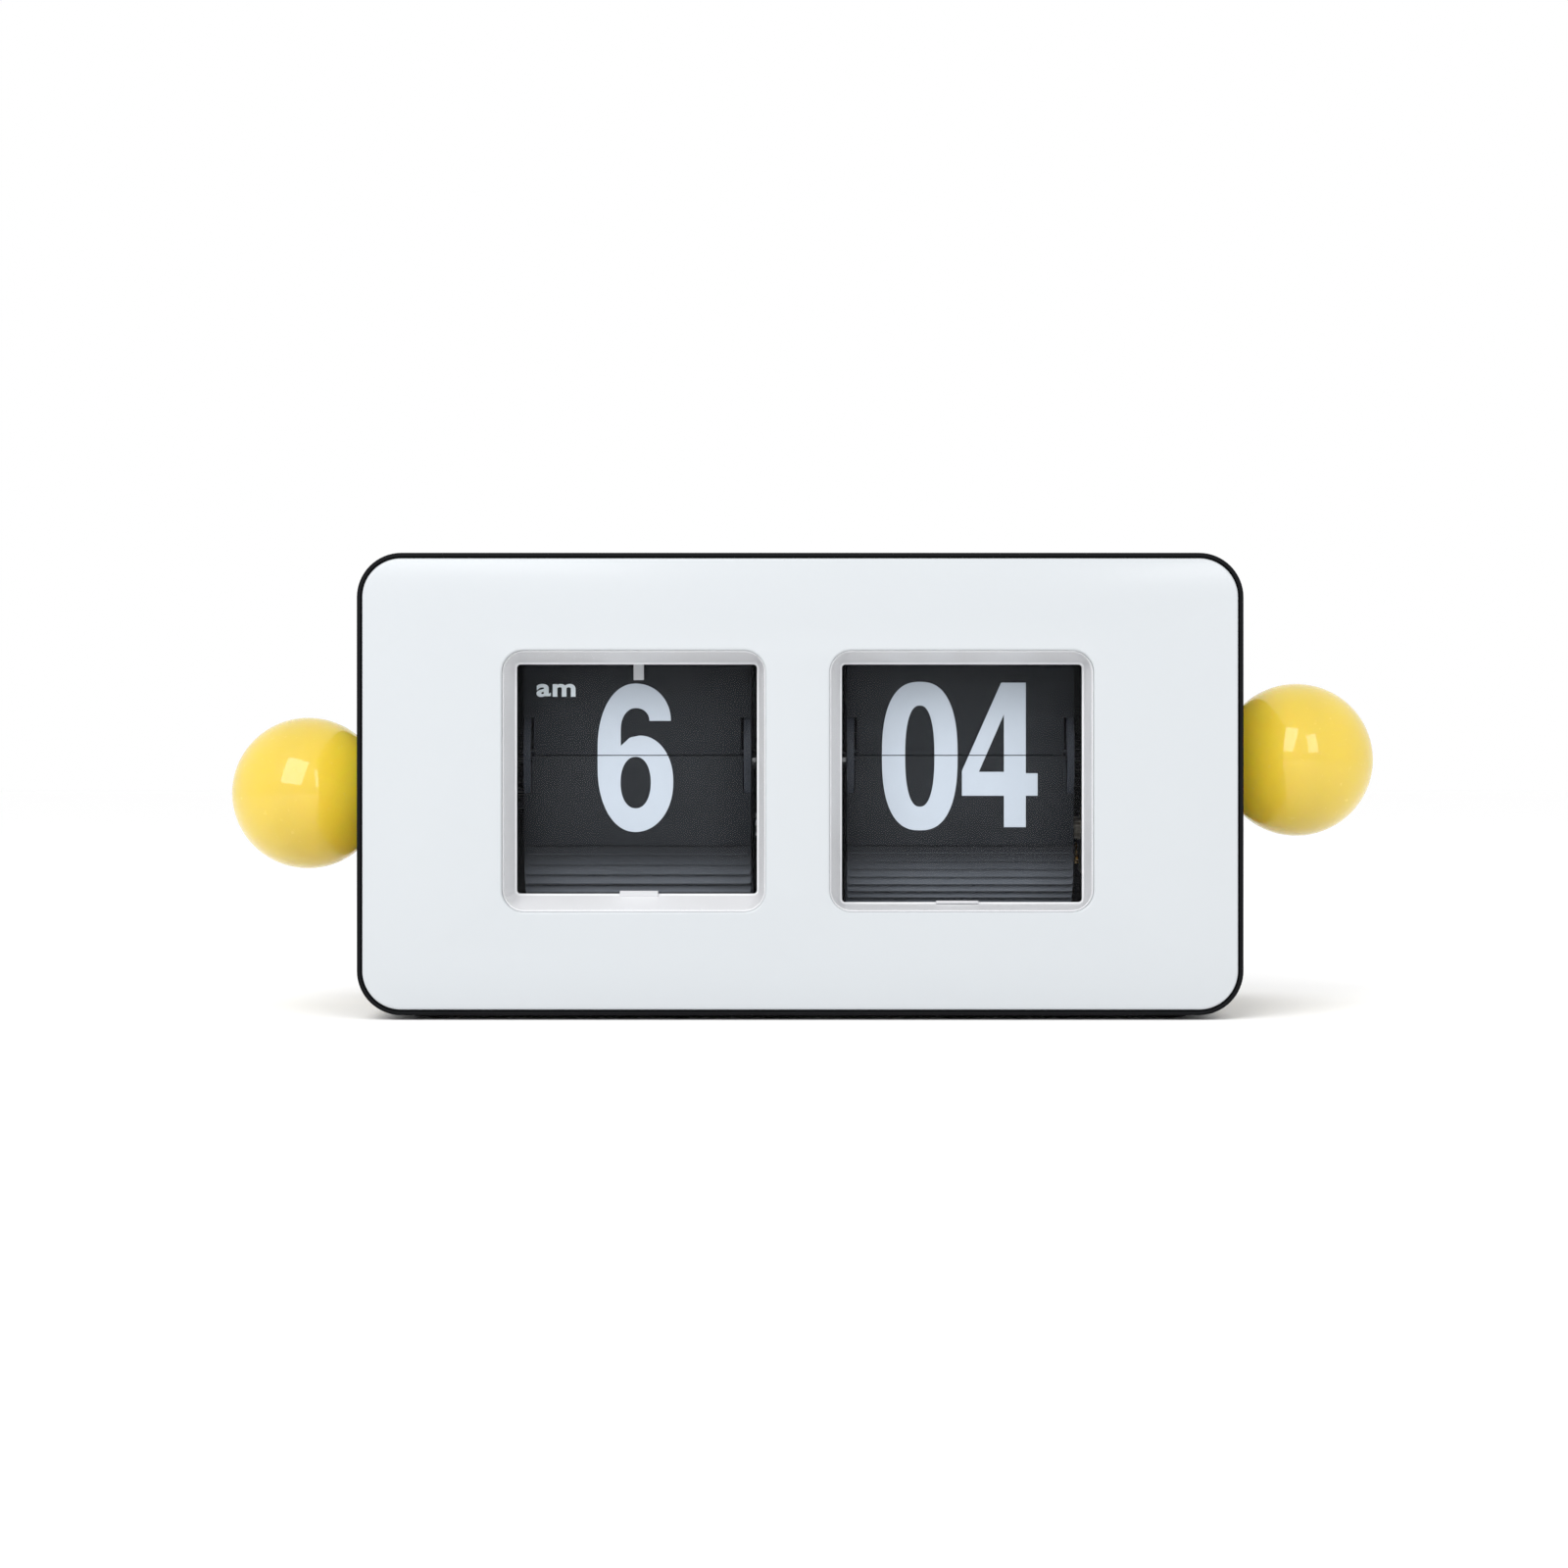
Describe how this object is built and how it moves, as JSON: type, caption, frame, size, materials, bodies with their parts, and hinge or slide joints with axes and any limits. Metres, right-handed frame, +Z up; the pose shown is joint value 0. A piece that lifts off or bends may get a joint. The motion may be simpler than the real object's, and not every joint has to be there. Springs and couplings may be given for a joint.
{
  "type": "flip number clock",
  "caption": "Table clock that shows the time on split leaves, which flip in two framed windows, with a ball knob at each side.",
  "frame": {"origin": "on the table under the middle of the case, at the bottom of the feet", "axes": "+Z up, -Y out of the face, +X to the right seen from the front"},
  "size_m": [0.2482, 0.08, 0.0955],
  "materials": {
    "case_black": "fine textured black",
    "panel_white": "gloss white",
    "bezel_grey": "satin pale grey",
    "lens_clear": "clear",
    "steel": "rolled steel",
    "rubber": "matt black",
    "leaf_black": "matt charcoal",
    "drum_grey": "satin grey",
    "brass": "turned",
    "gear_white": "natural white",
    "gear_black": "satin black",
    "knob_yellow": "gloss yellow",
    "catch_grey": "satin grey",
    "motor_silver": "drawn can",
    "battery_green": "printed wrap",
    "nickel": "plated"
  },
  "bodies": {
    "case": {"case_shell": "case_black", "face_panel": "panel_white", "hour_bezel": "bezel_grey", "minute_bezel": "bezel_grey", "hour_lens": "lens_clear", "minute_lens": "lens_clear", "rear_cover": "case_black", "cover_screw_1": "steel", "cover_screw_2": "steel", "cover_screw_3": "steel", "cover_screw_4": "steel", "foot_1": "rubber", "foot_2": "rubber", "foot_3": "rubber", "foot_4": "rubber", "hour_next_leaf": "leaf_black", "hour_lower_leaf": "leaf_black", "hour_leaf_pack": "leaf_black", "minute_next_leaf": "leaf_black", "minute_lower_leaf": "leaf_black", "minute_leaf_pack": "leaf_black", "right_bush": "brass", "left_bush": "brass", "chassis_left_plate": "steel", "chassis_middle_plate": "steel", "chassis_right_plate": "steel", "chassis_base": "steel", "chassis_top_bar": "steel", "hour_leaf_catch": "catch_grey", "minute_leaf_catch": "catch_grey", "drive_motor": "motor_silver", "battery_upper": "battery_green", "battery_lower": "battery_green", "battery_spring_upper": "nickel", "battery_spring_lower": "nickel", "contact_upper": "nickel", "contact_lower": "nickel"},
    "minute_drum": {"minute_disc_left": "drum_grey", "minute_disc_right": "drum_grey", "minute_hub": "drum_grey", "minute_shaft": "steel", "minute_pinion": "brass", "minute_drive_wheel": "gear_black", "right_knob": "knob_yellow"},
    "hour_drum": {"hour_disc_left": "drum_grey", "hour_disc_right": "drum_grey", "hour_hub": "drum_grey", "hour_shaft": "steel", "hour_wheel": "gear_black", "hour_set_wheel": "gear_black"},
    "transfer": {"transfer_arbor": "steel", "transfer_wheel": "gear_white"},
    "idler": {"drive_idler": "gear_white"},
    "motor_rotor": {"motor_pinion": "brass"},
    "hour_setter": {"set_arbor": "steel", "left_knob": "knob_yellow"},
    "hour_flap": {"hour_front_leaf": "leaf_black"},
    "minute_flap": {"minute_front_leaf": "leaf_black"},
    "door": {"battery_door": "case_black"}
  },
  "joints": [
    {"name": "minute_drum_spin", "type": "hinge", "parent": "case", "child": "minute_drum", "pos_m": [0, -0.0016, 0.0535], "axis": [1, 0, 0], "continuous": true},
    {"name": "hour_drum_spin", "type": "hinge", "parent": "case", "child": "hour_drum", "pos_m": [0, -0.0016, 0.0535], "axis": [1, 0, 0], "continuous": true},
    {"name": "transfer_spin", "type": "hinge", "parent": "case", "child": "transfer", "pos_m": [0, -0.0016, 0.0395], "axis": [1, 0, 0], "continuous": true},
    {"name": "drive_idler_spin", "type": "hinge", "parent": "case", "child": "idler", "pos_m": [0, -0.0016, 0.0391], "axis": [1, 0, 0], "continuous": true},
    {"name": "motor_spin", "type": "hinge", "parent": "case", "child": "motor_rotor", "pos_m": [0, 0.00879, 0.0331], "axis": [1, 0, 0], "continuous": true},
    {"name": "hour_setter_spin", "type": "hinge", "parent": "case", "child": "hour_setter", "pos_m": [0, 0.00375, 0.04626], "axis": [1, 0, 0], "continuous": true},
    {"name": "hour_leaf_flip", "type": "hinge", "parent": "case", "child": "hour_flap", "pos_m": [-0.0344, -0.0186, 0.0552], "axis": [1, 0, 0], "range_deg": [0, 180], "deforming": ["hour_leaf_catch"]},
    {"name": "minute_leaf_flip", "type": "hinge", "parent": "case", "child": "minute_flap", "pos_m": [0.0339, -0.0186, 0.0552], "axis": [1, 0, 0], "range_deg": [0, 180]},
    {"name": "battery_door_hinge", "type": "hinge", "parent": "case", "child": "door", "pos_m": [0, 0.039, 0.0097], "axis": [-1, 0, 0], "range_deg": [0, 80]}
  ],
  "couplings": [
    {"joint": "hour_drum_spin", "follows": "minute_drum_spin", "ratio": 0.041667},
    {"joint": "transfer_spin", "follows": "minute_drum_spin", "ratio": -0.25},
    {"joint": "drive_idler_spin", "follows": "minute_drum_spin", "ratio": -5},
    {"joint": "motor_spin", "follows": "minute_drum_spin", "ratio": 25},
    {"joint": "hour_setter_spin", "follows": "minute_drum_spin", "ratio": -0.083333}
  ]
}
